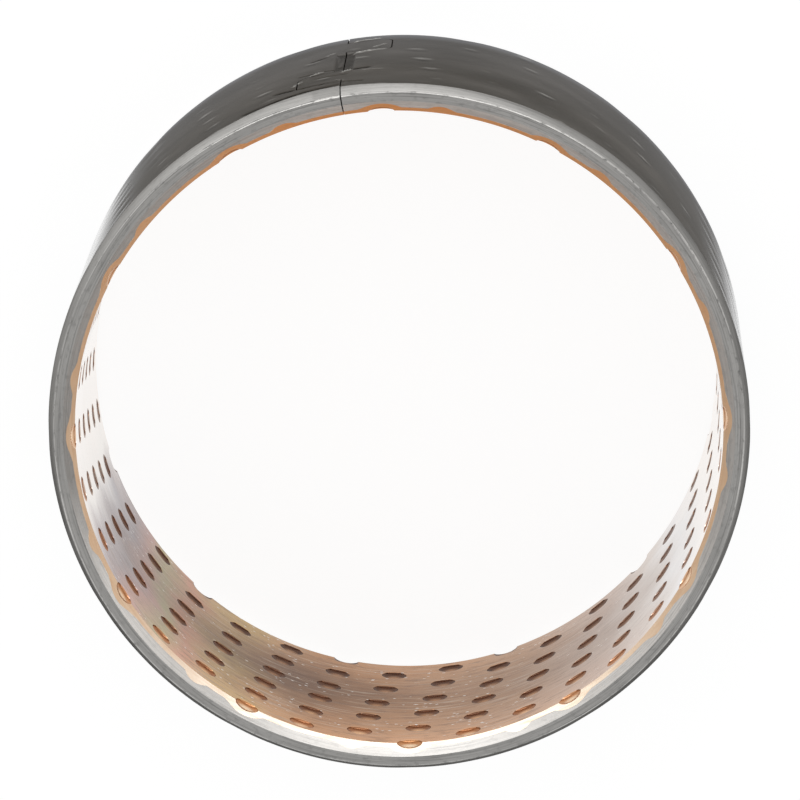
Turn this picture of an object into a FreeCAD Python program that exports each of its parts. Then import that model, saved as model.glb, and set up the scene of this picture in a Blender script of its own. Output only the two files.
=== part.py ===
import FreeCAD, Part
import math
import os

# Split bushing: a strip of steel with a bronze lining, rolled into a ring and closed by two clinch locks.
# The bushing stands on one end. Z is its axis and the origin is the centre of the lower end face.
# Angles run clockwise from +Y as seen from above, depths run down from the upper end face,
# and arcs run clockwise from the seam. Lengths are millimetres, angles are degrees.

# The ring
BORE_D = 60.0
WALL_T = 2.5
LINING_T = 0.35
LENGTH = 30.0

# Chamfers at both ends
OUTER_CHAMFER_RADIAL = 0.58
OUTER_CHAMFER_AXIAL = 1.3
INNER_CHAMFER_RADIAL = 1.05
INNER_CHAMFER_AXIAL = 0.97

# Grease pockets rolled into the lining
POCKET_D = 2.3
POCKET_DEPTH = 0.3
POCKET_SIDES = 7
POCKET_PITCH = 5.22
COLUMN_PITCH = 5.27
COLUMN_LEAN = 0.69
COLUMNS_PER_STAGGER = 3
FIRST_POCKET_ARC = 3.4
FIRST_POCKET_DEPTH = 0.95

# The seam and its two locks
SEAM_ANGLE = -9.3
SEAM_GAP = 0.15
UPPER_LOCK_DEPTH = 8.0
LOWER_LOCK_DEPTH = 23.6
LOCK_REACH = 4.2
LOCK_NECK = 4.6
LOCK_HEAD = 6.2
LOCK_CORNER_R = 1.0
RELIEF_W = 1.8
RELIEF_DEPTH = 0.15

# Cutting tools run this far past the faces that they cut
OVERCUT = 1.0

BORE_R = BORE_D / 2
HOUSING_R = BORE_R + WALL_T
LINING_R = BORE_R + LINING_T
AXIS = FreeCAD.Vector(0, 0, 1)
ORIGIN = FreeCAD.Vector(0, 0, 0)


def face_of(points):
    """Flat face inside the closed outline through the points."""
    return Part.Face(Part.makePolygon(points + points[:1]))


def ring_wall():
    """The whole wall, chamfered inside and outside at both ends."""
    lower = [
        (BORE_R, INNER_CHAMFER_AXIAL),
        (BORE_R + INNER_CHAMFER_RADIAL, 0),
        (HOUSING_R - OUTER_CHAMFER_RADIAL, 0),
        (HOUSING_R, OUTER_CHAMFER_AXIAL),
    ]
    upper = [(radius, LENGTH - height) for radius, height in reversed(lower)]
    section = face_of([FreeCAD.Vector(radius, 0, height) for radius, height in lower + upper])
    return section.revolve(ORIGIN, AXIS, 360)


def lining_zone():
    """Cylinder out to where the bronze is bonded to the steel."""
    start = FreeCAD.Vector(0, 0, -OVERCUT)
    return Part.makeCylinder(LINING_R, LENGTH + 2 * OVERCUT, start, AXIS)


def pocket_tool():
    """One pocket, pointing outward along +Y at height 0: a shallow cone with a few flat flanks."""
    corner_r = POCKET_D / 2 / math.sqrt(math.cos(math.pi / POCKET_SIDES))
    base_r = corner_r * (1 + OVERCUT / POCKET_DEPTH)
    tip = FreeCAD.Vector(0, BORE_R + POCKET_DEPTH, 0)
    base = []
    for corner in range(POCKET_SIDES):
        turn = 2 * math.pi * (corner + 0.5) / POCKET_SIDES
        base.append(FreeCAD.Vector(base_r * math.cos(turn), BORE_R - OVERCUT, base_r * math.sin(turn)))
    faces = [face_of(base)]
    for corner in range(POCKET_SIDES):
        faces.append(face_of([base[corner], base[(corner + 1) % POCKET_SIDES], tip]))
    tool = Part.Solid(Part.Shell(faces))
    if tool.Volume < 0:
        tool.reverse()
    return tool


def pocket_places():
    """(arc, depth) of each pocket: leaning columns, each started a part of a pitch above the last."""
    girth = math.pi * BORE_D
    columns = math.ceil(girth / COLUMN_PITCH) + 1
    rows = math.ceil(LENGTH / POCKET_PITCH) + 1
    places = []
    for column in range(columns):
        for row in range(rows):
            steps = row - column % COLUMNS_PER_STAGGER / COLUMNS_PER_STAGGER
            arc = FIRST_POCKET_ARC + column * COLUMN_PITCH - steps * COLUMN_LEAN
            depth = FIRST_POCKET_DEPTH + steps * POCKET_PITCH
            on_strip = 0 < arc < girth
            meets_bore = -POCKET_D / 2 < depth < LENGTH + POCKET_D / 2
            if on_strip and meets_bore:
                places.append((arc, depth))
    return places


def pockets():
    """Every pocket tool, turned and lifted to its place."""
    tool = pocket_tool()
    tools = []
    for arc, depth in pocket_places():
        placed = tool.copy()
        placed.rotate(ORIGIN, AXIS, -SEAM_ANGLE - math.degrees(arc / BORE_R))
        placed.translate(FreeCAD.Vector(0, 0, LENGTH - depth))
        tools.append(placed)
    return tools


def through_wall(outline):
    """Prism through the wall at +Y from an outline of (arc, depth) points."""
    start = BORE_R - RELIEF_W - OVERCUT
    points = [FreeCAD.Vector(arc, start, LENGTH - depth) for arc, depth in outline]
    return face_of(points).extrude(FreeCAD.Vector(0, HOUSING_R + OVERCUT - start, 0))


def tongue(centre, side, growth):
    """Dovetail tongue of a lock, from the seam towards side (-1 or 1), widened by growth all round."""
    root = -side * SEAM_GAP / 2
    tip = side * (LOCK_REACH + growth)
    neck = LOCK_NECK / 2 + growth
    head = LOCK_HEAD / 2 + growth
    outline = [(root, centre - neck), (tip, centre - head), (tip, centre + head), (root, centre + neck)]
    prism = through_wall(outline)
    corners = [
        edge for edge in prism.Edges
        if all(abs(vertex.X - tip) < SEAM_GAP / 10 for vertex in edge.Vertexes)
        and abs(edge.Vertexes[0].Z - edge.Vertexes[1].Z) < SEAM_GAP / 10
    ]
    return prism.makeFillet(LOCK_CORNER_R + growth, corners)


def seam_gap():
    """The gap that runs down the seam and round both tongues, at the seam's angle."""
    half = SEAM_GAP / 2
    gap = through_wall([(-half, -OVERCUT), (half, -OVERCUT), (half, LENGTH + OVERCUT), (-half, LENGTH + OVERCUT)])
    locks = [(UPPER_LOCK_DEPTH, -1), (LOWER_LOCK_DEPTH, 1)]
    gap = gap.fuse([tongue(centre, side, SEAM_GAP) for centre, side in locks])
    gap = gap.cut([tongue(centre, side, 0) for centre, side in locks])
    return at_seam(gap)


def seam_relief():
    """Shallow flat pressed into the steel between the two locks."""
    top = UPPER_LOCK_DEPTH + LOCK_HEAD / 2
    bottom = LOWER_LOCK_DEPTH - LOCK_HEAD / 2
    corner = FreeCAD.Vector(-RELIEF_W / 2, HOUSING_R - RELIEF_DEPTH, LENGTH - bottom)
    return at_seam(Part.makeBox(RELIEF_W, RELIEF_DEPTH + OVERCUT, bottom - top, corner))


def at_seam(shape):
    """The shape made at +Y, turned to the seam's angle."""
    shape.rotate(ORIGIN, AXIS, -SEAM_ANGLE)
    return shape


def steel_back():
    """Outer layer of the strip, with the pressed flat at the seam."""
    return ring_wall().cut([lining_zone(), seam_gap(), seam_relief()])


def bronze_lining():
    """Inner layer of the strip, with its pockets."""
    return ring_wall().common(lining_zone()).cut([seam_gap()] + pockets())


os.makedirs("parts", exist_ok=True)
steel_back().exportStep("parts/steel_back.step")
bronze_lining().exportStep("parts/bronze_lining.step")
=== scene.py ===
import math
import random
import bpy
import bmesh
from mathutils import Matrix, Vector
from mathutils.geometry import delaunay_2d_cdt
from mathutils.kdtree import KDTree


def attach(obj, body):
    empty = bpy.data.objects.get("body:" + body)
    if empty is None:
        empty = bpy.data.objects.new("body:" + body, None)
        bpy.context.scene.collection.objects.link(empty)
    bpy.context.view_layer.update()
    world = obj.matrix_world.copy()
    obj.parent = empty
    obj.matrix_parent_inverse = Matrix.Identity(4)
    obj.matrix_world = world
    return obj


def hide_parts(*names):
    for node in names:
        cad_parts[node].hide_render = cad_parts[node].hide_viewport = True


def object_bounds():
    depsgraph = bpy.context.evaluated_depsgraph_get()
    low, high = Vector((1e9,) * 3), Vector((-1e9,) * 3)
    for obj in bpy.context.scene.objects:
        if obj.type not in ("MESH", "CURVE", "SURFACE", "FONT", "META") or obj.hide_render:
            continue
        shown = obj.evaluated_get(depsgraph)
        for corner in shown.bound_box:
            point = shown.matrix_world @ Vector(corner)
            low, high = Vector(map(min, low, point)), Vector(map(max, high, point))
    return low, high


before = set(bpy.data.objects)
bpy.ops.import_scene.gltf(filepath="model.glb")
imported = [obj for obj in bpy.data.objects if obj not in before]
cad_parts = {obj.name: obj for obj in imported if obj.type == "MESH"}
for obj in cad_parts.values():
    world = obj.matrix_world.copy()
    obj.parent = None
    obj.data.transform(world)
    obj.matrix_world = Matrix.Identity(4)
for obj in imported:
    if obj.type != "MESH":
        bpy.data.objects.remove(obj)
cad_low, cad_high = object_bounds()

# A split bushing, dressed. Lengths are millimetres until a point is rolled into the scene, in metres.
# Each layer is drawn flat, as (arc, depth, radius): the arc is measured along the bore, clockwise from
# the seam as seen from above, and the depth runs down from the upper end face. Then it is rolled up.
MM = 0.001

# The ring
BORE_R = 30.0
LINING_T = 0.35
LINING_R = BORE_R + LINING_T
LENGTH = cad_high.z / MM
OUTSIDE_R = min(cad_high.x, cad_high.y, -cad_low.x, -cad_low.y) / MM
GIRTH = 2 * math.pi * BORE_R

# Chamfers at both ends, and the facet between the outer one and the end face, burnished and with a painted
# highlight in its finish
OUTER_CHAMFER_RADIAL = 0.58
OUTER_CHAMFER_AXIAL = 1.3
INNER_CHAMFER_RADIAL = 1.05
INNER_CHAMFER_AXIAL = 0.97
EDGE_FACET = 0.16
EDGE_FACET_IN = 0.08

# The upper outer chamfer runs further down beside the seam: by how much, over how far to the seam's left and
# right, and the share of it on the right
CHAMFER_SPREAD = 1.2
CHAMFER_SPREAD_LEFT = 13.0
CHAMFER_SPREAD_RIGHT = 5.0
CHAMFER_SPREAD_SHARE_RIGHT = 0.45

# Grease pockets, on a leaning and staggered lattice, and the bulge that each one pushes into the steel
POCKET_D = 2.4
POCKET_DEPTH = 0.46
POCKET_ROUNDNESS = 0.6
POCKET_PITCH = 5.22
COLUMN_PITCH = 5.27
COLUMN_LEAN = 0.69
COLUMNS_PER_STAGGER = 3
FIRST_POCKET_ARC = 3.4
FIRST_POCKET_DEPTH = 0.95
RIM_ROUNDING = 0.02
BULGE_R = 3.73
BULGE_TOP = 0.87

# The faint dent that each pocket leaves on the outside, and the painted highlight on the dent's lower edge
# with the painted shade above it. Their strength differs from pocket to pocket.
GHOST_R = 1.25
GHOST_DEPTH = 0.03
GHOST_FALL = 1.2
GLINT_LENGTH = 0.8
GLINT_WIDTH = 0.4
GLINT_OFFSET = 0.6
GLINT_LEAST = 0.3
GLINT_MOST = 0.95
GLINT_SHARES = (1, 1, 0.4)
GLINT_SEED = 7
GLINT_SHADE = 0.9

# The seam and its two locks
SEAM_ANGLE = -9.3
SEAM_GAP = 0.12
LINING_GAP = 0.05
UPPER_LOCK_DEPTH = 8.0
LOWER_LOCK_DEPTH = 23.6
LOCK_REACH = 4.2
LOCK_NECK = 4.6
LOCK_HEAD = 6.2
LOCK_CORNER_R = 1.0
RELIEF_W = 1.8
RELIEF_DEPTH = 0.15
RELIEF_SIDE = 0.12
RELIEF_END = 0.15

# Burrs and dents beside the locks: how a stroke falls off from its line, how far it reaches in half widths,
# and the burr, the dent and the pressed flat that count as one full step: a burr lightens, polished and with
# a painted highlight, and a dent or the pressed flat darkens with painted shade
STROKE_FALL = 1.5
STROKE_REACH = 2
FULL_BURR = 0.1
FULL_DENT = 0.08
RELIEF_PAINTED_SHADE = 0.6

# Where the two layers meet: their hidden backs, which clear the bulges, how far the bronze stands out of the
# steel's chamfer, and how far the steel's chamfer runs on under it
BACK_CLEAR = 0.03
HIDDEN_R = BORE_R + BULGE_TOP + BACK_CLEAR
PROUD = 0.008
UNDERLAP = 0.15

# Mesh spacings, the rings of points round each pocket, the width that holds a single column of points, and
# the angle in degrees from which an edge is sharp
BORE_STEP = 1.0
OUTSIDE_STEP = 0.55
SEAM_STEP = 0.2
EDGE_STEP = 0.5
HIDDEN_STEP = 1.5
CORNER_STEPS = 6
BOND_STEPS = 12
POCKET_RINGS = (0.4, 0.75, 0.98, 1.1, 1.165, 1.2, 1.26, 1.42)
POCKET_RING_POINTS = 32
COLUMN_W = 0.02
SHARP_ANGLE = 32.0

# Half the width of the finely meshed stretch round the seam, and of the one that holds the burrs and dents
SEAM_ZONE = 6.5
BURR_ZONE = 10.5

# The lining is drawn this far past both ends, then cut off at its chamfers
PAST_ENDS = 1.0

# Points nearer than these are one, lie on the cut, on the lining's chamfer or on the outside's edge
MERGE = 1e-5
ON_CUT = 1e-6
ON_CHAMFER = 2e-4
ON_EDGE = 1e-3

# A piece's first finish is for its main face. These faces take the later ones.
WALL, INNER_CHAMFER, OUTER_CHAMFER, EDGE, END = range(1, 6)


def rolled(arc, depth, radius):
    """A point of the flat strip, rolled into the ring, in metres."""
    turn = math.radians(SEAM_ANGLE) + arc / BORE_R
    return Vector((radius * math.sin(turn), radius * math.cos(turn), LENGTH - depth)) * MM


def smooth(low, high, value):
    """0 below low, 1 above high, and an even rise between."""
    share = min(max((value - low) / (high - low), 0), 1)
    return share * share * (3 - 2 * share)


def pocket_places():
    """(arc, depth) of each pocket that meets the strip. Those beside the seam come on both its sides."""
    past = 2 * BULGE_TOP
    columns = math.ceil(GIRTH / COLUMN_PITCH) + 1
    rows = math.ceil(LENGTH / POCKET_PITCH) + 1
    places = []
    for column in range(columns):
        for row in range(rows):
            steps = row - column % COLUMNS_PER_STAGGER / COLUMNS_PER_STAGGER
            arc = FIRST_POCKET_ARC + column * COLUMN_PITCH - steps * COLUMN_LEAN
            depth = FIRST_POCKET_DEPTH + steps * POCKET_PITCH
            if 0 < arc < GIRTH and -past < depth < LENGTH + past:
                places += [(arc + turn * GIRTH, depth) for turn in (-1, 0, 1)]
    reach = LOCK_REACH + POCKET_D
    return [(arc, depth) for arc, depth in places if -reach < arc < GIRTH + reach]


PLACES = pocket_places()
NEAREST = KDTree(len(PLACES))
for index, (arc, depth) in enumerate(PLACES):
    NEAREST.insert((arc, depth, 0), index)
NEAREST.balance()


def from_pocket(arc, depth):
    """How far a point of the strip is from the nearest pocket's middle."""
    return NEAREST.find((arc, depth, 0))[2]


def bore_radius(arc, depth):
    """Radius of the bore's surface: a steep-sided round dimple at each pocket, with a softened rim."""
    share = from_pocket(arc, depth) / (POCKET_D / 2)
    if share < 1:
        sunk = POCKET_DEPTH * (1 - share ** 2) ** POCKET_ROUNDNESS
    else:
        sunk = POCKET_D / 2 * (1 - share)
    return BORE_R + (sunk + math.sqrt(sunk ** 2 + RIM_ROUNDING ** 2)) / 2


def bond_radius(arc, depth):
    """Radius where bronze meets steel: the lining's own, or the bulge behind a pocket."""
    away = min(from_pocket(arc, depth), BULGE_R)
    bulge = BORE_R + BULGE_TOP - BULGE_R + math.sqrt(BULGE_R ** 2 - away ** 2)
    return max(LINING_R, bulge)


def chamfer_depth(radius):
    """How far below the end face the inner chamfer runs at a radius."""
    return INNER_CHAMFER_AXIAL * (1 - (radius - BORE_R) / INNER_CHAMFER_RADIAL)


def bond_on_chamfer(arc, lower):
    """(depth, radius) where the bond meets the inner chamfer of the upper or the lower end, step by step."""
    radius = LINING_R
    for _ in range(BOND_STEPS):
        depth = chamfer_depth(radius)
        radius = bond_radius(arc, LENGTH - depth if lower else depth)
    depth = chamfer_depth(radius)
    return (LENGTH - depth if lower else depth), radius


def rounded(before, corner, after, radius):
    """Points round a corner of a flat outline."""
    back = (before - corner).normalized()
    on = (after - corner).normalized()
    half = back.angle(on) / 2
    centre = corner + (back + on).normalized() * (radius / math.sin(half))
    start = corner + back * (radius / math.tan(half)) - centre
    end = corner + on * (radius / math.tan(half)) - centre
    shares = [i / CORNER_STEPS for i in range(CORNER_STEPS + 1)]
    return [centre + start.lerp(end, share).normalized() * radius for share in shares]


def lock_edge(centre, side, gap, growth, edge):
    """Outline of a lock's tongue, from the strip's edge round the tongue's head and back, going down."""
    root = -side * gap / 2
    tip = side * (LOCK_REACH + growth)
    neck = LOCK_NECK / 2 + growth
    head = LOCK_HEAD / 2 + growth
    start = neck + (head - neck) * (edge - root) / (tip - root)
    first = Vector((edge, centre - start))
    upper = Vector((tip, centre - head))
    lower = Vector((tip, centre + head))
    last = Vector((edge, centre + start))
    radius = LOCK_CORNER_R + growth
    return [first] + rounded(first, upper, lower, radius) + rounded(upper, lower, last, radius) + [last]


def divided(points, step):
    """The same line with points no further apart than a step."""
    line = []
    for start, end in zip(points, points[1:]):
        count = max(1, math.ceil((end - start).length / step))
        line += [start.lerp(end, i / count) for i in range(count)]
    return line + [points[-1]]


def seam_side(near, gap, top, bottom):
    """One edge of the seam, from the upper end down, as (distance from the seam, depth)."""
    edge = gap / 2 if near else -gap / 2
    line = [Vector((edge, top))]
    line += lock_edge(UPPER_LOCK_DEPTH, -1, gap, 0 if near else gap, edge)
    line += lock_edge(LOWER_LOCK_DEPTH, 1, gap, gap if near else 0, edge)
    return divided(line + [Vector((edge, bottom))], EDGE_STEP)


def arc_at(across, radius):
    """Arc along the bore of a point that lies this far across from the seam, at a radius."""
    return BORE_R * math.asin(across / radius)


def strip_outline(radius, gap, top, bottom):
    """Outline of the strip at a radius, counter-clockwise; top and bottom give the ends' depths at an arc."""
    near = seam_side(True, gap, top(0), bottom(0))
    far = seam_side(False, gap, top(GIRTH), bottom(GIRTH))
    near = [Vector((arc_at(x, radius), depth)) for x, depth in near]
    far = [Vector((GIRTH + arc_at(x, radius), depth)) for x, depth in far]
    count = math.ceil(GIRTH / EDGE_STEP)
    inside = [near[0].x + (far[0].x - near[0].x) * i / count for i in range(1, count)]
    upper = [Vector((arc, top(arc))) for arc in inside]
    lower = [Vector((arc, bottom(arc))) for arc in inside]
    return (near + lower + far[::-1] + upper[::-1])[::-1]


def triangles(outline, loops, dots):
    """Points and triangles that fill the outline, with an edge along every loop and a corner on every dot.

    The third result lists, for each point, the given points that it came from.
    """
    points, edges = [], []
    for ring in [outline] + loops:
        first = len(points)
        points += [Vector(p) for p in ring]
        edges += [(first + i, first + (i + 1) % len(ring)) for i in range(len(ring))]
    points += [Vector(p) for p in dots]
    area = [list(range(len(outline)))]
    inside_only = 1
    points, _, faces, origins, _, areas = delaunay_2d_cdt(points, edges, area, inside_only, MERGE, True)
    return points, [face for face, within in zip(faces, areas) if within], origins


def grid(low, high, top, bottom, step, keep=None):
    """Evenly spread points in a rectangle of the strip: all, or those that keep() wants."""
    across = math.ceil((high - low) / step)
    down = math.ceil((bottom - top) / step)
    dots = []
    for i in range(across):
        for j in range(down):
            arc = low + (high - low) * (i + 0.5) / across
            depth = top + (bottom - top) * (j + 0.5) / down
            if keep is None or keep(arc, depth):
                dots.append((arc, depth))
    return dots


def sheet(outline, loops, dots, radius_at):
    """A flat-drawn sheet as a mesh of (arc, depth, radius) points."""
    points, faces, _ = triangles(outline, loops, dots)
    used = sorted({corner for face in faces for corner in face})
    bm = bmesh.new()
    corners = {i: bm.verts.new((points[i].x, points[i].y, radius_at(*points[i]))) for i in used}
    for face in faces:
        bm.faces.new([corners[i] for i in face])
    return bm


def border(bm):
    """The sheet's border vertices in order."""
    edges = [edge for edge in bm.edges if edge.is_boundary]
    beside = {}
    for edge in edges:
        for vertex in edge.verts:
            beside.setdefault(vertex, []).append(edge.other_vert(vertex))
    start = edges[0].verts[0]
    loop, last, here = [start], None, start
    while True:
        ahead = [vertex for vertex in beside[here] if vertex is not last]
        last, here = here, ahead[0]
        if here is start:
            return loop
        loop.append(here)


def close(bm, chain_of, kinds_of):
    """Walls from the sheet's border along each vertex's chain of points, and a hidden back.

    chain_of gives the points that lie on from a border point, kinds_of the finishes of the walls between
    two neighbouring chains.
    """
    loop = border(bm)
    chains = []
    for vertex in loop:
        chains.append([vertex] + [bm.verts.new(point) for point in chain_of(vertex.co)])
    for i, chain in enumerate(chains):
        other = chains[(i + 1) % len(chains)]
        if len(chain) == len(other):
            kinds = kinds_of(chain[0], other[0])
            for k, kind in enumerate(kinds):
                face = bm.faces.new((chain[k], chain[k + 1], other[k + 1], other[k]))
                face.material_index = kind
        else:
            face = bm.faces.new(chain + other[::-1])
            face.material_index = WALL
    ends = [chain[-1] for chain in chains]
    outline = [end.co.xy for end in ends]
    area = sum(a.x * b.y - b.x * a.y for a, b in zip(outline, outline[1:] + outline[:1]))
    if area < 0:
        ends, outline = ends[::-1], outline[::-1]
    dots = grid(-LOCK_REACH, GIRTH + LOCK_REACH, 0, LENGTH, HIDDEN_STEP)
    points, faces, origin = triangles(outline, [], dots)
    corners = []
    for point, sources in zip(points, origin):
        known = [i for i in sources if i < len(ends)]
        corners.append(ends[known[0]] if known else bm.verts.new((point.x, point.y, HIDDEN_R)))
    for face in faces:
        if len({corners[i] for i in face}) == 3:
            bm.faces.new([corners[i] for i in face])


def roll(bm, name):
    """Rolls the flat-drawn mesh and makes it an object that keeps each point's flat place."""
    loose = [vertex for vertex in bm.verts if not vertex.link_faces]
    bmesh.ops.delete(bm, geom=loose, context="VERTS")
    flat = bm.verts.layers.float_vector.new("strip")
    for vertex in bm.verts:
        vertex[flat] = vertex.co
        vertex.co = rolled(*vertex.co)
    bmesh.ops.triangulate(bm, faces=[face for face in bm.faces if len(face.verts) > 4])
    bmesh.ops.recalc_face_normals(bm, faces=bm.faces)
    for face in bm.faces:
        face.smooth = True
    mesh = bpy.data.meshes.new(name)
    bm.to_mesh(mesh)
    bm.free()
    mesh.set_sharp_from_angle(angle=math.radians(SHARP_ANGLE))
    piece = bpy.data.objects.new(name, mesh)
    bpy.context.scene.collection.objects.link(piece)
    return piece


def lining_piece():
    """The bronze lining: the bore with its pockets, the chamfered ends and the seam's edges."""
    outline = strip_outline(BORE_R, LINING_GAP, lambda arc: -PAST_ENDS, lambda arc: LENGTH + PAST_ENDS)
    loops = []
    for arc, depth in PLACES:
        for ring in POCKET_RINGS:
            turns = [2 * math.pi * i / POCKET_RING_POINTS for i in range(POCKET_RING_POINTS)]
            loops.append([(arc + ring * math.cos(t), depth + ring * math.sin(t)) for t in turns])
    clear = POCKET_RINGS[-1] + BORE_STEP / 3
    dots = grid(-LOCK_REACH, GIRTH + LOCK_REACH, -PAST_ENDS, LENGTH + PAST_ENDS, BORE_STEP,
                lambda arc, depth: from_pocket(arc, depth) > clear)
    dots += PLACES
    bm = sheet(outline, loops, dots, bore_radius)
    slope = INNER_CHAMFER_AXIAL / INNER_CHAMFER_RADIAL
    for start, way in ((INNER_CHAMFER_AXIAL - PROUD, 1), (LENGTH - INNER_CHAMFER_AXIAL + PROUD, -1)):
        bmesh.ops.bisect_plane(
            bm, geom=bm.verts[:] + bm.edges[:] + bm.faces[:], dist=ON_CUT,
            plane_co=(0, start, BORE_R), plane_no=(0, way, slope), clear_inner=True,
        )

    def on_chamfer(point):
        """Whether a border point lies on a chamfer, and not on an edge of the seam."""
        rise = chamfer_depth(point.z) - PROUD + ON_CHAMFER
        return point.y < rise or point.y > LENGTH - rise

    def chain_of(point):
        """The bond below a border point."""
        if on_chamfer(point):
            lower = point.y > LENGTH / 2
            depth, radius = bond_on_chamfer(point.x, lower)
            return [(point.x, depth + (PROUD if lower else -PROUD), radius)]
        turn = point.x if point.x < GIRTH / 2 else point.x - GIRTH
        across = BORE_R * math.sin(turn / BORE_R)
        return [(point.x - turn + arc_at(across, LINING_R), point.y, LINING_R)]

    def kinds_of(first, second):
        """The finish of the wall between two border points."""
        ends = on_chamfer(first.co) and on_chamfer(second.co)
        return [INNER_CHAMFER if ends else WALL]

    close(bm, chain_of, kinds_of)
    return roll(bm, "bronze_lining_dressed")


def chamfer_reach(arc):
    """How far down the outside the outer chamfer runs at an arc of the upper end: further beside the seam."""
    if arc < GIRTH / 2:
        spread = CHAMFER_SPREAD_SHARE_RIGHT * (1 - smooth(0, CHAMFER_SPREAD_RIGHT, arc))
    else:
        spread = 1 - smooth(0, CHAMFER_SPREAD_LEFT, GIRTH - arc)
    return OUTER_CHAMFER_AXIAL + CHAMFER_SPREAD * spread


def from_segment(point, start, end):
    """Distance from a flat point to a segment."""
    line = end - start
    share = min(max((point - start).dot(line) / line.length_squared, 0), 1)
    return (point - start - line * share).length


# Burrs raised where the locks were clinched: (across, depth) of both ends, height, half width
BURRS = [
    ((-4.65, 7.6), (-3.9, 9.1), 0.13, 0.15),
    ((-3.05, 11.1), (-2.0, 11.8), 0.12, 0.17),
    ((-0.1, 9.7), (0.8, 10.5), 0.12, 0.17),
    ((-0.4, 5.8), (0.25, 5.2), 0.07, 0.15),
    ((0.1, 2.9), (1.4, 4.5), 0.04, 0.12),
    ((1.9, 9.7), (3.6, 9.6), 0.06, 0.2),
    ((-1.9, 20.5), (-1.1, 21.5), 0.10, 0.16),
    ((0.8, 19.6), (3.7, 20.8), 0.13, 0.25),
    ((2.6, 22.1), (3.6, 23.7), 0.12, 0.16),
    ((0.8, 26.4), (3.0, 26.9), 0.10, 0.25),
    ((-0.8, 19.8), (-0.4, 13.4), 0.05, 0.13),
    ((-0.3, 18.8), (-0.15, 13.6), 0.04, 0.10),
]
# Places pressed in beside the locks: (across, depth) of both ends, depth of the dent, half width
DENTS = [
    ((-9.0, 2.6), (-0.5, 3.4), 0.09, 0.45),
    ((-6.2, 6.9), (-4.7, 6.0), 0.09, 0.4),
    ((-4.3, 5.7), (-0.3, 4.8), 0.06, 0.2),
    ((0.25, 4.6), (1.9, 4.0), 0.07, 0.25),
    ((-4.2, 12.4), (-3.1, 12.2), 0.07, 0.25),
    ((-2.0, 12.4), (-0.5, 11.6), 0.08, 0.2),
    ((0.9, 10.9), (2.2, 11.3), 0.10, 0.45),
    ((-3.3, 19.3), (-2.0, 20.2), 0.08, 0.25),
    ((-2.5, 9.0), (0.3, 8.6), 0.05, 0.25),
]


def raised(across, depth, strokes):
    """Height of the highest stroke at a place."""
    place = Vector((across, depth))
    most = 0
    for start, end, height, width in strokes:
        away = from_segment(place, Vector(start), Vector(end))
        if away < STROKE_REACH * width:
            most = max(most, height * math.exp(-(away / width) ** 2 * STROKE_FALL))
    return most


# Each pocket ghost's painted highlight and shade gets its own strength
chance = random.Random(GLINT_SEED)
GLINTS = [chance.uniform(GLINT_LEAST, GLINT_MOST) * chance.choice(GLINT_SHARES) for _ in PLACES]


def ghost(arc, depth):
    """(share of the pocket's faint dent on the outside, its painted highlight below less the painted shade
    above).
    """
    middle, index, away = NEAREST.find((arc, depth, 0))
    share = math.exp(-(away / GHOST_R) ** 2 * GHOST_FALL)
    along = (arc - middle.x) / GLINT_LENGTH
    down = (depth - middle.y - GLINT_OFFSET) / GLINT_WIDTH
    under = (depth - middle.y + GLINT_OFFSET) / GLINT_WIDTH
    # A painted highlight on the ghost's lower edge, less a painted shade above it
    glint_and_shade = math.exp(-along ** 2 - down ** 2) - GLINT_SHADE * math.exp(-along ** 2 - under ** 2)
    return share, GLINTS[index] * glint_and_shade


def most_outward(arc):
    """The larger of the shares by which a step outward at an arc runs along X or along Y."""
    turn = math.radians(SEAM_ANGLE) + arc / BORE_R
    return max(abs(math.sin(turn)), abs(math.cos(turn)))


def outside_shape(arc, depth):
    """(radius, how much lighter or darker it is painted) of the outside: the pressed flat, burrs and dents at
    the seam, pocket ghosts.
    """
    turn = arc if arc < GIRTH / 2 else arc - GIRTH
    share, wear_and_painted_light = ghost(arc, depth)
    radius = OUTSIDE_R - GHOST_DEPTH * share
    if abs(turn) < BURR_ZONE:
        across = OUTSIDE_R * math.sin(turn / BORE_R)
        burr = raised(across, depth, BURRS)
        dent = raised(across, depth, DENTS)
        top = UPPER_LOCK_DEPTH + LOCK_HEAD / 2
        bottom = LOWER_LOCK_DEPTH - LOCK_HEAD / 2
        inside = 1 - smooth(RELIEF_W / 2 - RELIEF_SIDE, RELIEF_W / 2 + RELIEF_SIDE, abs(across))
        inside *= smooth(top - RELIEF_END, top + RELIEF_END, depth)
        inside *= 1 - smooth(bottom - RELIEF_END, bottom + RELIEF_END, depth)
        pressed = OUTSIDE_R - math.hypot(across, OUTSIDE_R - RELIEF_DEPTH)
        radius = min(radius + burr - dent - inside * pressed, OUTSIDE_R / most_outward(arc))
        # Burrs lighten, polished and painted lit; dents and the pressed flat darken with painted shade
        wear_and_painted_light += burr / FULL_BURR - dent / FULL_DENT - RELIEF_PAINTED_SHADE * inside
    return radius, wear_and_painted_light


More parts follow.
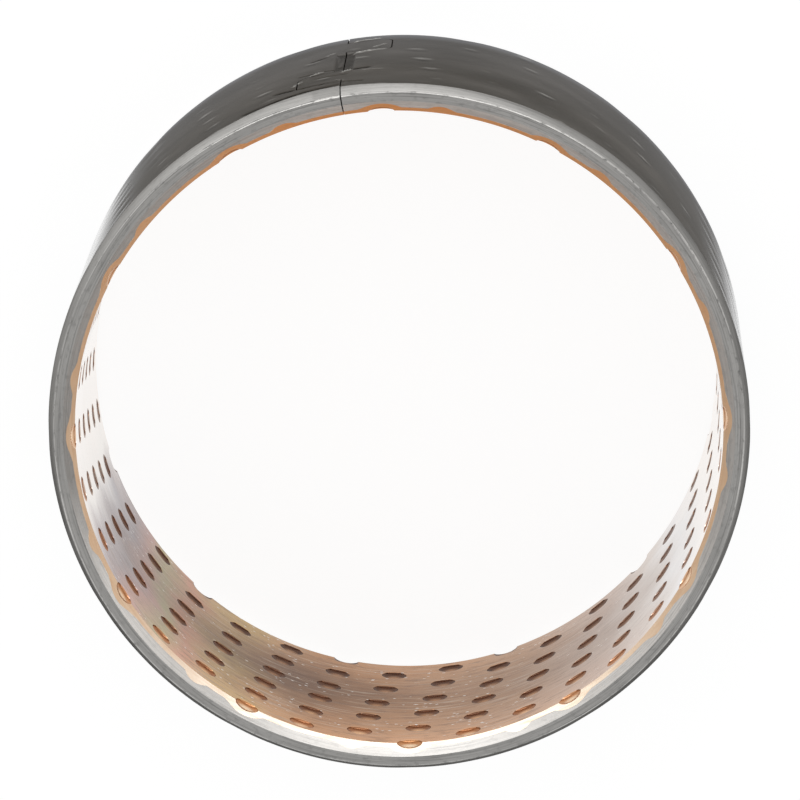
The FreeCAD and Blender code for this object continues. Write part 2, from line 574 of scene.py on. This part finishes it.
def back_piece():
    """The steel back: the outside, both ends with their chamfers and the seam's edges."""
    outline = strip_outline(OUTSIDE_R, SEAM_GAP, chamfer_reach, lambda arc: LENGTH - OUTER_CHAMFER_AXIAL)
    top, bottom = OUTER_CHAMFER_AXIAL, LENGTH - OUTER_CHAMFER_AXIAL
    coarse = grid(SEAM_ZONE, GIRTH - SEAM_ZONE, top, bottom, OUTSIDE_STEP)
    near = grid(-SEAM_ZONE, SEAM_ZONE, top, bottom, SEAM_STEP)
    fine = [(arc + turn * GIRTH, depth) for arc, depth in near for turn in (0, 1)]
    half = RELIEF_W / 2
    for side in (-1, 1):
        for inset in (-RELIEF_SIDE, 0, RELIEF_SIDE):
            arc = arc_at(side * (half + inset), OUTSIDE_R)
            column = grid(arc - COLUMN_W / 2, arc + COLUMN_W / 2, top, bottom, SEAM_STEP)
            fine += [(arc + turn * GIRTH, depth) for _, depth in column for turn in (0, 1)]
    bm = sheet(outline, [], coarse + fine, lambda arc, depth: outside_shape(arc, depth)[0])
    end_r = OUTSIDE_R - OUTER_CHAMFER_RADIAL
    slope = Vector((OUTER_CHAMFER_AXIAL, OUTER_CHAMFER_RADIAL)).normalized() * EDGE_FACET
    profile = [
        (slope.x, end_r + slope.y),
        (0, end_r - EDGE_FACET_IN),
        (0, BORE_R + INNER_CHAMFER_RADIAL),
    ]

    def chain_of(point):
        """The corners of an end's profile below a border point, or the bond below the seam's edge."""
        turn = point.x if point.x < GIRTH / 2 else point.x - GIRTH
        upper = point.y < chamfer_reach(point.x) + ON_EDGE
        lower = point.y > LENGTH - OUTER_CHAMFER_AXIAL - ON_EDGE
        if upper or lower:
            inner_r = max(LINING_R, bond_on_chamfer(point.x, lower)[1] - UNDERLAP)
            down = profile + [(chamfer_depth(inner_r), inner_r)]
            return [(point.x, LENGTH - depth if lower else depth, radius) for depth, radius in down]
        across = OUTSIDE_R * math.sin(turn / BORE_R)
        return [(point.x - turn + arc_at(across, LINING_R), point.y, LINING_R)]

    def kinds_of(first, second):
        """The finishes of the walls between two border points."""
        ends = len(chain_of(first.co)) > len(profile)
        return [OUTER_CHAMFER, EDGE, END, INNER_CHAMFER] if ends else [WALL]

    close(bm, chain_of, kinds_of)
    piece = roll(bm, "steel_back_dressed")
    wear_and_painted_light = piece.data.attributes.new("wear_and_painted_light", "FLOAT", "POINT")
    flat = piece.data.attributes["strip"]
    for vertex in piece.data.vertices:
        arc, depth, radius = flat.data[vertex.index].vector
        if radius > OUTSIDE_R - 2 * RELIEF_DEPTH:
            wear_and_painted_light.data[vertex.index].value = outside_shape(arc, depth)[1]
    return piece


class Finish:
    """A material's node tree, with short ways to add to it."""

    # Places of a colour Mix node's sockets
    FIRST, SECOND, RESULT = 6, 7, 2

    def __init__(self, name):
        self.material = bpy.data.materials.new(name)
        self.material.use_nodes = True
        self.tree = self.material.node_tree
        self.shader = self.tree.nodes["Principled BSDF"]
        self.shader.inputs["Metallic"].default_value = 1.0
        place = self.tree.nodes.new("ShaderNodeAttribute")
        place.attribute_name = "strip"
        self.place = place.outputs["Vector"]

    def set(self, socket, value):
        """A value or another node's output into a socket."""
        if isinstance(value, bpy.types.NodeSocket):
            self.tree.links.new(value, socket)
        elif isinstance(value, tuple) and len(value) == 3 and len(socket.default_value) == 4:
            socket.default_value = (*value, 1)
        else:
            socket.default_value = value

    def math(self, operation, *values):
        """The result of a sum on values or sockets."""
        node = self.tree.nodes.new("ShaderNodeMath")
        node.operation = operation
        for socket, value in zip(node.inputs, values):
            self.set(socket, value)
        return node.outputs[0]

    def part(self, vector, axis):
        """One part of a vector or a colour."""
        node = self.tree.nodes.new("ShaderNodeSeparateXYZ")
        self.set(node.inputs[0], vector)
        return node.outputs[axis]

    def scaled(self, scale):
        """The flat place, stretched by a factor along the arc, the depth and the radius."""
        node = self.tree.nodes.new("ShaderNodeVectorMath")
        node.operation = "MULTIPLY"
        self.set(node.inputs[0], self.place)
        node.inputs[1].default_value = scale
        return node.outputs[0]

    def noise(self, scale, detail=3.0, roughness=0.5):
        """Cloudy noise, 0 to 1, drawn finer along a direction by a larger scale."""
        node = self.tree.nodes.new("ShaderNodeTexNoise")
        self.set(node.inputs["Vector"], self.scaled(scale))
        node.inputs["Scale"].default_value = 1.0
        node.inputs["Detail"].default_value = detail
        node.inputs["Roughness"].default_value = roughness
        return node.outputs["Fac"]

    def cells(self, scale):
        """Distance to the nearest of many scattered spots."""
        node = self.tree.nodes.new("ShaderNodeTexVoronoi")
        self.set(node.inputs["Vector"], self.scaled(scale))
        node.inputs["Scale"].default_value = 1.0
        return node.outputs["Distance"]

    def between(self, value, low, high, start=0.0, end=1.0):
        """Start where the value is at low, end where it's at high, and level beyond."""
        node = self.tree.nodes.new("ShaderNodeMapRange")
        self.set(node.inputs["Value"], value)
        node.inputs["From Min"].default_value = low
        node.inputs["From Max"].default_value = high
        node.inputs["To Min"].default_value = start
        node.inputs["To Max"].default_value = end
        return node.outputs[0]

    def mix(self, share, first, second, blend="MIX"):
        """The first colour with a share of the second over it, or multiplied by it."""
        node = self.tree.nodes.new("ShaderNodeMix")
        node.data_type = "RGBA"
        node.blend_type = blend
        self.set(node.inputs[0], share)
        self.set(node.inputs[self.FIRST], first)
        self.set(node.inputs[self.SECOND], second)
        return node.outputs[self.RESULT]

    def ramp(self, value, stops):
        """A colour that changes with a value: (place from 0 to 1, colour) pairs."""
        node = self.tree.nodes.new("ShaderNodeValToRGB")
        self.set(node.inputs[0], value)
        line = node.color_ramp
        while len(line.elements) < len(stops):
            line.elements.new(0.5)
        for element, (place, colour) in zip(line.elements, stops):
            element.position = place
            element.color = (*colour, 1)
        return node.outputs[0]

    def round_ring(self, levels, drift=0):
        """A colour that changes round the ring: (ring angle clockwise from +Y, colour) pairs from 0 on."""
        share = self.math("ADD", self.math("DIVIDE", self.part(self.place, 0), GIRTH), drift)
        return self.ramp(share, [((angle - SEAM_ANGLE) / 360, colour) for angle, colour in levels])

    def attribute(self, name):
        """A number that the mesh keeps for each point."""
        node = self.tree.nodes.new("ShaderNodeAttribute")
        node.attribute_name = name
        return node.outputs["Fac"]

    def finish(self, colour, tint, roughness, height, distance):
        """The finished material: its colour, its edge tint, its roughness, and bumps of a depth in metres."""
        self.set(self.shader.inputs["Base Color"], colour)
        self.set(self.shader.inputs["Specular Tint"], tint)
        self.set(self.shader.inputs["Roughness"], roughness)
        bump = self.tree.nodes.new("ShaderNodeBump")
        bump.inputs["Strength"].default_value = 1.0
        bump.inputs["Distance"].default_value = distance
        self.set(bump.inputs["Height"], height)
        self.set(self.shader.inputs["Normal"], bump.outputs[0])
        return self.material


def greys(stops):
    """The same stops with each number as a grey."""
    return [(place, (level,) * 3) for place, level in stops]


# Films of colour round the bore, with the sides painted pale as a reflection: ring angle clockwise from +Y,
# colour, edge tint
FILMS_AND_SIDE_SHEEN = [
    (0, (0.62, 0.35, 0.20), 0.5), (50, (0.66, 0.42, 0.28), 0.6), (75, (0.86, 0.77, 0.69), 1.0),
    (108, (0.87, 0.80, 0.74), 1.0), (120, (0.76, 0.74, 0.74), 0.95), (128, (0.72, 0.63, 0.57), 0.85),
    (138, (0.64, 0.49, 0.41), 0.70), (148, (0.66, 0.48, 0.38), 0.63), (160, (0.64, 0.40, 0.26), 0.53),
    (180, (0.66, 0.37, 0.21), 0.5), (195, (0.55, 0.29, 0.15), 0.5), (204, (0.62, 0.35, 0.18), 0.52),
    (211, (0.59, 0.40, 0.18), 0.53), (218, (0.62, 0.42, 0.20), 0.55), (224, (0.72, 0.36, 0.25), 0.55),
    (230, (0.50, 0.44, 0.24), 0.6), (235, (0.65, 0.38, 0.33), 0.58), (241, (0.46, 0.40, 0.43), 0.6),
    (248, (0.52, 0.49, 0.53), 0.7), (255, (0.76, 0.72, 0.67), 1.0), (264, (0.87, 0.80, 0.74), 1.0),
    (290, (0.86, 0.77, 0.69), 1.0), (312, (0.66, 0.42, 0.28), 0.6), (350, (0.62, 0.35, 0.20), 0.5),
]


# A darker patch in the bore, on the flat strip
PATCH_ARC = 110.0
PATCH_DEPTH = 17.0
PATCH_R = 17.0
PATCH_FLATNESS = 1.4
PATCH_RAGGED = 8

# Stains and marks in the bore
CLOUD = (0.50, 0.29, 0.19)
TURNED_LINE = (0.72, 0.54, 0.41)
SMEAR = (0.30, 0.19, 0.14)
PATCH = (0.22, 0.135, 0.10)
STREAK = (0.82, 0.67, 0.55)
SPECK = (0.97, 0.95, 0.92)

# From the upper end, 0, to the lower end, 1: how much lighter the stained bore is, and the colours of the
# pockets' bottoms, a painted highlight near the upper end and painted shade further down, and of their sides,
# a painted shade
BORE_LEVELS = ((0.03, 1.60), (0.2, 1.20), (0.45, 0.85), (0.7, 0.92), (0.97, 1.32))
POCKET_BOTTOM_LIGHT = (
    (0.05, (1.0, 0.80, 0.58)), (0.15, (0.95, 0.62, 0.38)), (0.38, (0.50, 0.28, 0.16)),
    (0.8, (0.40, 0.24, 0.16)),
)
POCKET_SIDE_SHADE = (
    (0.03, (0.62, 0.30, 0.13)), (0.12, (0.42, 0.18, 0.08)), (0.30, (0.17, 0.075, 0.04)),
    (0.8, (0.14, 0.07, 0.045)),
)


def patch_share(f, arc, depth):
    """How much of the dark, ragged patch covers a place of the bore."""
    along = f.math("ABSOLUTE", f.math("SUBTRACT", arc, PATCH_ARC))
    across = f.math("ABSOLUTE", f.math("MULTIPLY", f.math("SUBTRACT", depth, PATCH_DEPTH), PATCH_FLATNESS))
    ragged = f.between(f.noise((0.3, 0.7, 0), 4, 0.65), 0, 1, -PATCH_RAGGED, PATCH_RAGGED)
    away = f.math("ADD", f.math("ADD", along, across), ragged)
    return f.between(away, PATCH_R, 0.0, 0.0, 0.9)


def bore_stains(f, base, stained, broad, lines, down):
    """The bore's colour with its clouds, lighter ends, turned lines and smears, where it's stained."""
    clouds = f.math("MULTIPLY", stained, f.between(broad, 0.35, 0.65, 0.0, 0.35))
    base = f.mix(clouds, base, CLOUD)
    base = f.mix(stained, base, f.ramp(down, greys(BORE_LEVELS)), "MULTIPLY")
    turned = f.math("MULTIPLY", stained, f.between(lines, 0.45, 0.70, 0.0, 0.5))
    base = f.mix(turned, base, TURNED_LINE)
    smear = f.between(f.noise((0.35, 1.3, 0), 5, 0.7), 0.5, 0.68, 0.0, 0.6)
    return f.mix(f.math("MULTIPLY", stained, smear), base, SMEAR)


def bore_specks(f, stained):
    """Where scattered bright specks lie in the stained bore."""
    spots = f.between(f.cells((0.9, 1.9, 0)), 0.18, 0.11)
    specks = f.math("MULTIPLY", spots, f.between(f.noise((0.09, 0.22, 0)), 0.47, 0.53))
    return f.math("MULTIPLY", specks, stained)


def pocket_colour(f, base, stained, wall, depth, down):
    """Colour inside the pockets: the bore's own or the bottoms' painted light, and the sides' painted shade
    on the steep walls.
    """
    bottom_share = f.math("MAXIMUM", f.math("MULTIPLY", stained, 0.7), f.between(depth, 4.0, 2.0))
    bottom = f.mix(bottom_share, base, f.ramp(down, POCKET_BOTTOM_LIGHT))
    return f.mix(wall, bottom, f.ramp(down, POCKET_SIDE_SHADE))


def bore_finish():
    """Copper-brown bronze, with films of colour and sides painted pale as a reflection, fine turned lines,
    bright specks, and pockets with painted highlights and shade.
    """
    f = Finish("bronze_bore")
    arc, depth, radius = (f.part(f.place, axis) for axis in range(3))
    down = f.math("DIVIDE", depth, LENGTH)
    broad = f.noise((0.06, 0.12, 0), 3)
    lines = f.noise((0.22, 6.0, 0), 4, 0.6)
    drift = f.between(f.noise((0.10, 0.14, 0), 3), 0, 1, -0.02, 0.02)
    base = f.round_ring([(angle, colour) for angle, colour, _ in FILMS_AND_SIDE_SHEEN], drift)
    tint = f.round_ring(greys((angle, value) for angle, _, value in FILMS_AND_SIDE_SHEEN), drift)
    # Stains fade, and the pockets' painted shade weakens, where the films paint the sides pale
    stained = f.between(tint, 1.0, 0.55, 0.12, 1.0)
    base = bore_stains(f, base, stained, broad, lines, down)
    base = f.mix(patch_share(f, arc, depth), base, PATCH)
    streaks = f.between(f.noise((0.13, 2.4, 0), 4, 0.6), 0.56, 0.66, 0.0, 0.55)
    base = f.mix(f.math("MULTIPLY", stained, streaks), base, STREAK)
    specks = bore_specks(f, stained)
    base = f.mix(specks, base, SPECK)

    sunk = f.math("DIVIDE", f.math("SUBTRACT", radius, BORE_R), POCKET_DEPTH)
    inside = f.between(sunk, 0.03, 0.10)
    # The steep walls near the rim take painted shade
    wall = f.math("MULTIPLY", f.between(sunk, 0.92, 0.60), f.between(stained, 0.12, 1.0, 0.6, 1.0))
    base = f.mix(inside, base, pocket_colour(f, base, stained, wall, depth, down))
    f.set(f.shader.inputs["Metallic"], f.between(f.math("MULTIPLY", inside, wall), 0.0, 1.0, 1.0, 0.5))

    rough = f.math("ADD", f.between(broad, 0.3, 0.7, 0.12, 0.20), f.between(lines, 0.3, 0.7, 0.0, 0.06))
    rough = f.math("MULTIPLY", rough, f.between(stained, 0.12, 1.0, 0.4, 1.0))
    rough = f.math("ADD", rough, f.math("MULTIPLY", specks, 0.3))
    rough = f.math("MAXIMUM", rough, f.math("MULTIPLY", inside, 0.20))
    bumpy = f.math("MULTIPLY", stained, f.between(inside, 0.0, 1.0, 1.0, 0.2))
    height = f.math("MULTIPLY", f.math("ADD", lines, f.noise((2, 2, 2), 2)), bumpy)
    return f.finish(base, tint, rough, height, 0.002 * MM)


# Colour of freshly cut bronze at ring angles; its changes round the ring, palest round the bottom, are
# painted light and shade
CUT_BRONZE_LIT = (
    (0, (0.73, 0.36, 0.15)), (45, (0.67, 0.39, 0.20)), (90, (0.59, 0.42, 0.28)),
    (125, (0.68, 0.51, 0.36)), (150, (0.93, 0.81, 0.67)), (210, (0.93, 0.83, 0.71)),
    (240, (0.70, 0.51, 0.35)), (275, (0.61, 0.44, 0.30)), (320, (0.70, 0.42, 0.23)),
    (345, (0.73, 0.36, 0.15)),
)


def cut_bronze_finish():
    """Freshly cut bronze on the chamfers and along the seam, with painted light and shade round the ring."""
    f = Finish("bronze_cut")
    tone = f.noise((0.4, 3.0, 3.0), 3)
    # Painted light and shade round the ring, palest round the bottom
    cut_and_lit = f.round_ring(CUT_BRONZE_LIT)
    base = f.mix(f.between(tone, 0.35, 0.65, 0.0, 0.3), cut_and_lit, (0.53, 0.29, 0.15))
    rough = f.between(tone, 0.3, 0.7, 0.34, 0.46)
    return f.finish(base, (0.9, 0.9, 0.9), rough, f.noise((0.3, 12.0, 12.0), 2), 0.006 * MM)


# How brightly the outside is rubbed at ring angles
RUBBED = ((0, 0.0), (270, 0.0), (285, 0.85), (298, 0.85), (306, 0.0))


def outside_finish():
    """Dark rolled steel with faint scratches, painted highlights and shade on the pocket ghosts, polished
    burrs with a painted highlight, painted shade in the dents, and a painted sheen towards the lower end.
    """
    f = Finish("steel_outside")
    patchiness = f.between(f.noise((0.9, 7.0, 0), 4, 0.65), 0.38, 0.62, 0.35, 1.25)
    wear_and_painted_light = f.math("MULTIPLY", f.attribute("wear_and_painted_light"), patchiness)
    depth = f.part(f.place, 1)
    broad = f.noise((0.08, 0.15, 0), 3)
    rubbed = f.part(f.round_ring(greys(RUBBED)), 0)
    tint = f.mix(rubbed, (0.3, 0.3, 0.3), (1.0, 1.0, 1.0))
    base = f.ramp(broad, [(0.35, (0.125, 0.115, 0.102)), (0.65, (0.18, 0.168, 0.154))])
    # Paler bluish grey towards the lower end: a painted sheen
    lower_sheen = f.between(depth, LENGTH * 0.3, LENGTH, 0.0, 0.6)
    base = f.mix(lower_sheen, base, (0.25, 0.245, 0.245))
    scratch = f.between(f.noise((0.35, 5.0, 0), 4, 0.6), 0.58, 0.74)
    base = f.mix(f.math("MULTIPLY", scratch, 0.4), base, (0.30, 0.29, 0.27))
    # Paler still just above the lower edge: more painted sheen
    base = f.mix(f.between(depth, LENGTH - 4.0, LENGTH - 1.0, 0.0, 0.6), base, (0.42, 0.43, 0.46))
    # Lighter on polished burrs and painted highlights, near black in dents, the pressed flat and the ghosts'
    # painted shade
    base = f.mix(f.between(wear_and_painted_light, 0.10, 1.0), base, (0.62, 0.61, 0.58))
    base = f.mix(f.between(wear_and_painted_light, -0.06, -1.0), base, (0.025, 0.023, 0.02))
    rough = f.between(broad, 0.3, 0.7, 0.36, 0.46)
    facing = f.tree.nodes.new("ShaderNodeLayerWeight").outputs["Facing"]
    polish = f.math("MAXIMUM", f.between(facing, 0.92, 0.975, 0.0, 0.88), rubbed)
    rough = f.math("MULTIPLY", rough, f.math("SUBTRACT", 1.0, polish))
    height = f.math("ADD", f.noise((0.35, 6.0, 0), 4, 0.6), f.noise((1.5, 1.5, 0), 3))
    return f.finish(base, tint, rough, height, 0.01 * MM)


def warm(level):
    """A slightly warm grey."""
    return level, level * 0.98, level * 0.945


def turned_finish(name, dark, plain, bright, roughness, tint, levels=(), patchy=0.35):
    """Turned steel of an end face or a chamfer, with fine circular streaks.

    The levels paint light and shade on it round the ring: (ring angle clockwise from +Y, factor) pairs.
    """
    f = Finish(name)
    broad = f.noise((0.12, 0.6, 0.6), 3)
    lines = f.noise((0.10, 8.0, 8.0), 4, 0.65)
    mottle = f.noise((1.2, 2.5, 2.5), 4, 0.7)
    base = f.mix(f.between(broad, 0.3, 0.7, 0.0, 0.35), warm(plain), warm(bright))
    base = f.mix(f.between(lines, 0.50, 0.70, 0.0, 0.8), base, warm(dark))
    base = f.mix(f.between(lines, 0.45, 0.30, 0.0, 0.6), base, warm(bright))
    base = f.mix(f.between(mottle, 0.52, 0.66, 0.0, patchy), base, warm(dark))
    # Painted light and shade round the ring
    if levels:
        base = f.mix(1.0, base, f.round_ring(greys(levels)), "MULTIPLY")
    rough = f.between(broad, 0.3, 0.7, roughness - 0.05, roughness + 0.05)
    return f.finish(base, (tint, tint, tint), rough, f.math("ADD", lines, mottle), 0.012 * MM)


def wall_finish():
    """Sheared steel inside the seam."""
    f = Finish("steel_sheared")
    tone = f.noise((1.0, 2.0, 2.0), 3)
    base = f.ramp(tone, [(0.35, (0.06, 0.055, 0.05)), (0.65, (0.12, 0.11, 0.10))])
    return f.finish(base, (0.4, 0.4, 0.4), f.between(tone, 0.3, 0.7, 0.45, 0.6), tone, 0.02 * MM)


# Floor and surroundings: the floor's size and how far it lies below the ring, in metres, how much light it
# throws back, how brightly it shows by itself, and the light from all round
FLOOR_SIZE = 12.0
FLOOR_BELOW = 1e-5
FLOOR_MATT = 0.16
FLOOR_GLOW = 0.895
WORLD_LEVEL = 0.75


def seen_by(tree):
    """1 for rays from the camera, from a reflection or through glass, and 0 for the rest."""
    rays = tree.nodes.new("ShaderNodeLightPath")
    share = rays.outputs["Is Camera Ray"]
    for kind in ("Is Glossy Ray", "Is Transmission Ray"):
        total = tree.nodes.new("ShaderNodeMath")
        tree.links.new(share, total.inputs[0])
        tree.links.new(rays.outputs[kind], total.inputs[1])
        share = total.outputs[0]
    return share


def floor_finish():
    """White floor: plain white to the eye and in reflections, with a trace of the object's shadow."""
    material = bpy.data.materials.new("floor_white")
    material.use_nodes = True
    material.cycles.emission_sampling = "NONE"
    tree = material.node_tree
    tree.nodes.remove(tree.nodes["Principled BSDF"])
    matt = tree.nodes.new("ShaderNodeBsdfDiffuse")
    matt.inputs["Color"].default_value = (FLOOR_MATT, FLOOR_MATT, FLOOR_MATT, 1)
    glow = tree.nodes.new("ShaderNodeEmission")
    glow.inputs["Strength"].default_value = FLOOR_GLOW
    glow_only = tree.nodes.new("ShaderNodeMixShader")
    tree.links.new(seen_by(tree), glow_only.inputs[0])
    tree.links.new(glow.outputs[0], glow_only.inputs[2])
    both = tree.nodes.new("ShaderNodeAddShader")
    tree.links.new(matt.outputs[0], both.inputs[0])
    tree.links.new(glow_only.outputs[0], both.inputs[1])
    tree.links.new(both.outputs[0], tree.nodes["Material Output"].inputs["Surface"])
    return material


def floor():
    """The floor under the bushing."""
    half = FLOOR_SIZE / 2
    bm = bmesh.new()
    corners = ((-half, -half), (half, -half), (half, half), (-half, half))
    bm.faces.new([bm.verts.new((x, y, -FLOOR_BELOW)) for x, y in corners])
    mesh = bpy.data.meshes.new("floor")
    bm.to_mesh(mesh)
    bm.free()
    mesh.materials.append(floor_finish())
    ground = bpy.data.objects.new("floor", mesh)
    bpy.context.scene.collection.objects.link(ground)


def surroundings():
    """Even light from all round, white to the eye and in reflections."""
    world = bpy.data.worlds.new("studio")
    bpy.context.scene.world = world
    world.use_nodes = True
    tree = world.node_tree
    back = tree.nodes["Background"]
    back.inputs["Color"].default_value = (1, 1, 1, 1)
    level = tree.nodes.new("ShaderNodeMapRange")
    level.inputs["To Min"].default_value = WORLD_LEVEL
    level.inputs["To Max"].default_value = 1.0
    tree.links.new(seen_by(tree), level.inputs["Value"])
    tree.links.new(level.outputs[0], back.inputs["Strength"])


def soft_light(name, azimuth, elevation, distance, width, height, power):
    """A rectangular soft light that faces the object, in metres and watts. Azimuth is clockwise from +Y."""
    turn, rise = math.radians(azimuth), math.radians(elevation)
    way = Vector((math.sin(turn) * math.cos(rise), math.cos(turn) * math.cos(rise), math.sin(rise)))
    data = bpy.data.lights.new(name, "AREA")
    data.shape = "RECTANGLE"
    data.size, data.size_y = width, height
    data.energy = power
    lamp = bpy.data.objects.new(name, data)
    lamp.location = way * distance
    lamp.rotation_euler = way.to_track_quat("Z", "Y").to_euler()
    lamp.visible_camera = False
    bpy.context.scene.collection.objects.link(lamp)


# Camera: its place in the object's frame, in millimetres, its directions, its lens and sensor, and how near
# and how far it sees, in metres
CAMERA_PLACE = (14.5, 130.6, 604.0)
CAMERA_RIGHT = (0.9997, -0.0053, -0.0238)
CAMERA_FORWARD = (-0.0244, -0.2168, -0.9759)
CAMERA_LENS = 286.9
CAMERA_SENSOR = 36.0
CAMERA_CLIP = (0.01, 50)


def camera():
    """The camera at the photograph's place and angle."""
    forward = Vector(CAMERA_FORWARD).normalized()
    right = Vector(CAMERA_RIGHT)
    right = (right - forward * right.dot(forward)).normalized()
    up = right.cross(forward)
    data = bpy.data.cameras.new("camera")
    data.sensor_width = CAMERA_SENSOR
    data.lens = CAMERA_LENS
    data.clip_start, data.clip_end = CAMERA_CLIP
    eye = bpy.data.objects.new("camera", data)
    turn = Matrix((right, up, -forward)).transposed().to_4x4()
    eye.matrix_world = Matrix.Translation(Vector(CAMERA_PLACE) * MM) @ turn
    bpy.context.scene.collection.objects.link(eye)
    bpy.context.scene.camera = eye


def stand_in(piece, node, finishes):
    """The piece gets its finishes and joins the root body in a CAD node's place, and the node is hidden."""
    for finish in finishes:
        piece.data.materials.append(finish)
    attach(piece, "root")
    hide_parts(node)


# Painted light and shade on the outer and the inner chamfer at ring angles, as a factor on the steel's own
# brightness
OUTER_PAINTED_LIGHT = (
    (0, 1.9), (18, 1.5), (35, 1.15), (75, 1.0), (110, 1.0), (140, 0.72), (235, 0.70), (265, 1.0),
    (300, 1.5), (345, 1.8),
)
INNER_PAINTED_LIGHT = (
    (0, 1.15), (30, 0.95), (60, 0.9), (98, 0.75), (122, 1.2), (148, 1.15), (180, 1.4), (214, 1.08),
    (240, 1.5), (262, 0.63), (300, 0.8), (330, 0.88), (350, 1.1),
)

camera()
surroundings()
floor()
# One low, wide soft light from behind
soft_light("behind", azimuth=0, elevation=13, distance=1.8, width=2.8, height=0.65, power=14)
cut = cut_bronze_finish()
stand_in(lining_piece(), "bronze_lining", [bore_finish(), cut, cut])
stand_in(back_piece(), "steel_back", [
    outside_finish(),
    wall_finish(),
    turned_finish("steel_inner_chamfer", dark=0.31, plain=0.46, bright=0.57, roughness=0.50, tint=0.9,
                  levels=INNER_PAINTED_LIGHT),
    turned_finish("steel_outer_chamfer", dark=0.17, plain=0.25, bright=0.33, roughness=0.48, tint=0.2,
                  levels=OUTER_PAINTED_LIGHT),
    # The edge facet's bright streaks are burnished steel and a painted highlight
    turned_finish("steel_edge", dark=0.12, plain=0.30, bright=0.80, roughness=0.30, tint=0.9, patchy=0.9),
    turned_finish("steel_end", dark=0.11, plain=0.27, bright=0.41, roughness=0.34, tint=0.5),
])
bpy.context.scene.view_settings.view_transform = "Standard"
